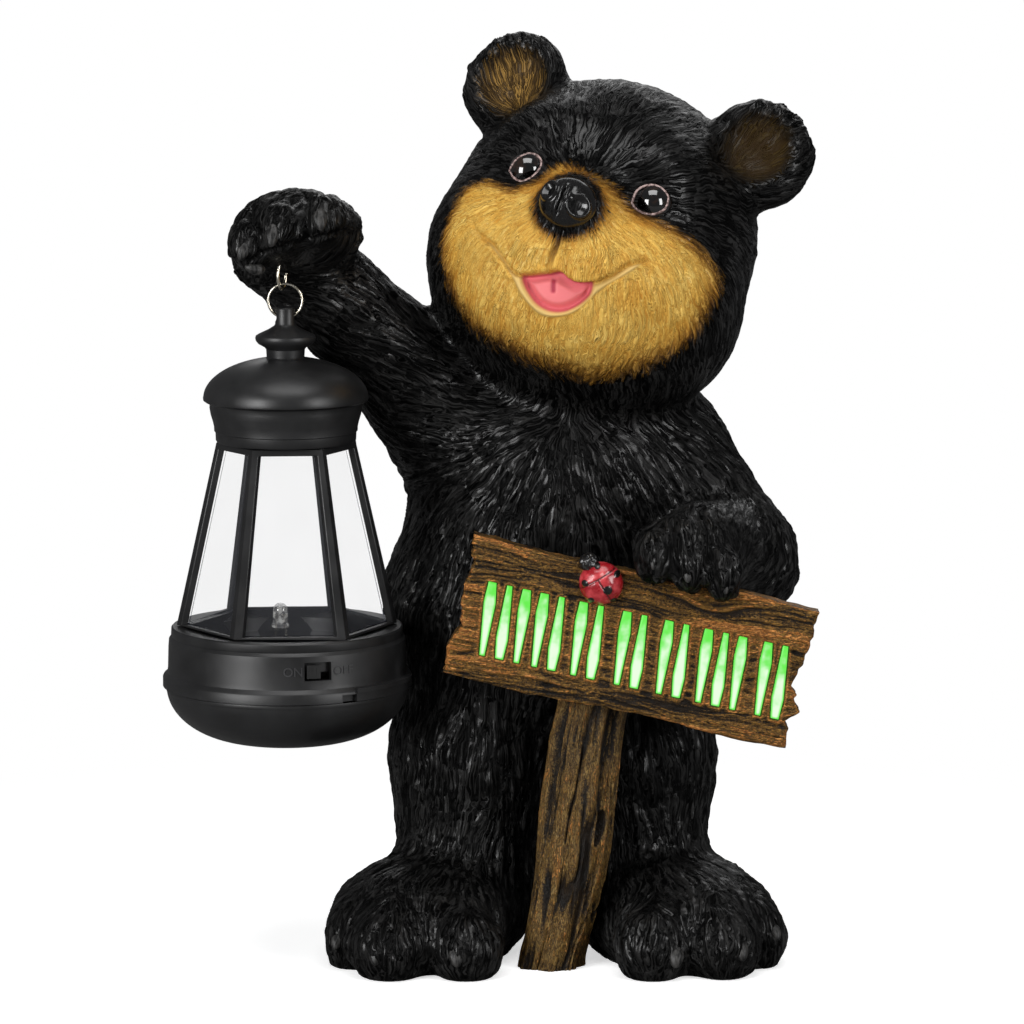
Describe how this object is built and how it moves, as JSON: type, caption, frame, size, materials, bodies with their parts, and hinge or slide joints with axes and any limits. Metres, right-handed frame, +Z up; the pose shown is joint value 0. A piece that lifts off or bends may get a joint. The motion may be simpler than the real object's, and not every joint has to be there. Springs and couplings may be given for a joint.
{
  "type": "solar lantern bear statue",
  "caption": "Garden statue of a standing bear cub: its raised paw holds a hanging lantern with clear panes, the other rests on a carved sign with glowing strokes.",
  "frame": {"origin": "on the floor, under the middle of the whole object's bounding box", "axes": "+Z up, along the object's height; the bear faces -Y; +X is towards the paw that rests on the sign"},
  "size_m": [0.2149, 0.1382, 0.3033],
  "materials": {
    "black_fur": "painted cast resin with carved fur, satin black, gold-tan on the muzzle",
    "bark": "painted cast resin, brown bark with ochre edges",
    "carved_wood": "painted cast resin, dark wood with orange dry-brushed edges",
    "glowing_strokes": "emissive green plastic",
    "ladybug_red": "glossy red paint with black spots",
    "black_plastic": "satin black moulding",
    "clear_panes": "clear",
    "led": "clear epoxy lamp",
    "steel": "bright wire"
  },
  "bodies": {
    "statue": {"bear": "black_fur", "sign_post": "bark", "sign_board": "carved_wood", "sign_light": "glowing_strokes", "ladybug": "ladybug_red", "split_ring": "steel", "hanging_link": "steel"},
    "lantern": {"lantern_cap": "black_plastic", "lantern_cage": "black_plastic", "lantern_glazing": "clear_panes", "lantern_base": "black_plastic", "lantern_bowl": "black_plastic", "lantern_led": "led"},
    "switch": {"switch_knob": "black_plastic"}
  },
  "joints": [
    {"name": "lantern_swing", "type": "hinge", "parent": "statue", "child": "lantern", "pos_m": [-0.067, -0.028, 0.2143], "axis": [-1, 0, 0], "range_deg": [-3, 30]},
    {"name": "switch_slide", "type": "slide", "parent": "lantern", "child": "switch", "axis": [0.9563, 0.2924, 0], "range_m": [0, 0.003]}
  ]
}
